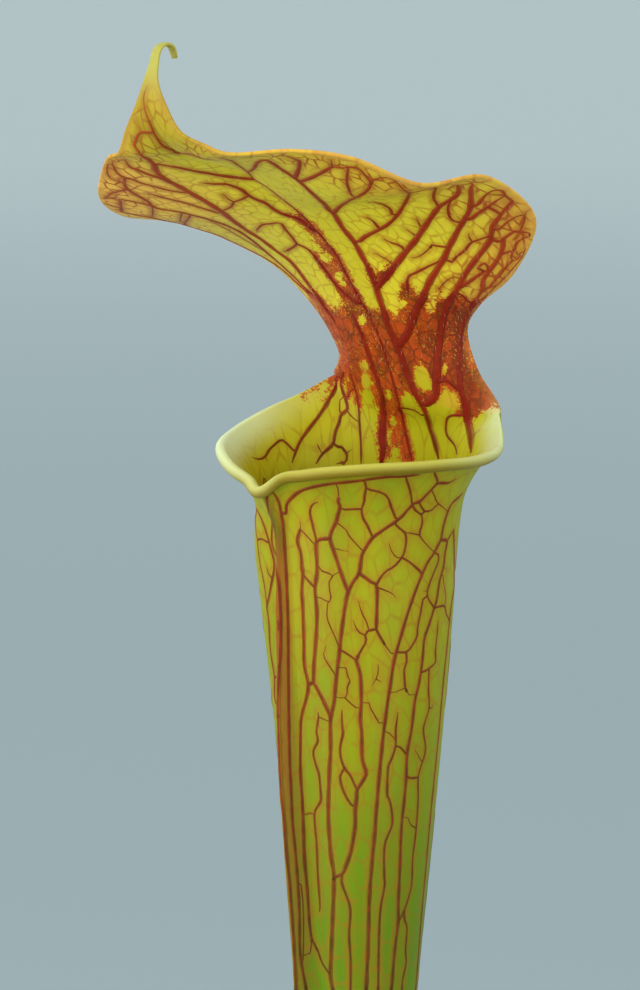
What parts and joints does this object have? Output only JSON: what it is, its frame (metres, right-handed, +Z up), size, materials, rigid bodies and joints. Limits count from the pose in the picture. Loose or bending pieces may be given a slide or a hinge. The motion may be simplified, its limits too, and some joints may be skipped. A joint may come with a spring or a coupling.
{
  "type": "potted pitcher plant",
  "caption": "Tall trumpet pitcher plant with an arched, hooked hood and red veins, with smaller pitchers and sword leaves, in a round plastic pot.",
  "frame": {"origin": "centre of the pot's flat underside, on the surface that the pot stands on", "axes": "+Z up along the pot's axis; the tall pitcher's mouth and hood face -Y; +X is to the right of someone who faces along +Y"},
  "size_m": [0.15, 0.15, 0.4773],
  "materials": {
    "pot_plastic": "plain terracotta-coloured moulded plastic, satin",
    "soil": "moist peat with perlite and moss",
    "rhizome": "matt brown, scarred",
    "pitcher_leaf": "waxy yellow-green leaf with raised red-brown veins and a cream lip",
    "young_leaf": "waxy pale green leaf",
    "sword_leaf": "waxy mid green leaf"
  },
  "bodies": {
    "root": {"pot": "pot_plastic", "soil": "soil", "rhizome": "rhizome", "pitcher_main": "pitcher_leaf", "pitcher_second": "pitcher_leaf", "pitcher_young_tall": "young_leaf", "pitcher_young_short": "young_leaf", "sword_leaf_right": "sword_leaf", "sword_leaf_left": "sword_leaf", "sword_leaf_back": "sword_leaf"}
  },
  "joints": []
}
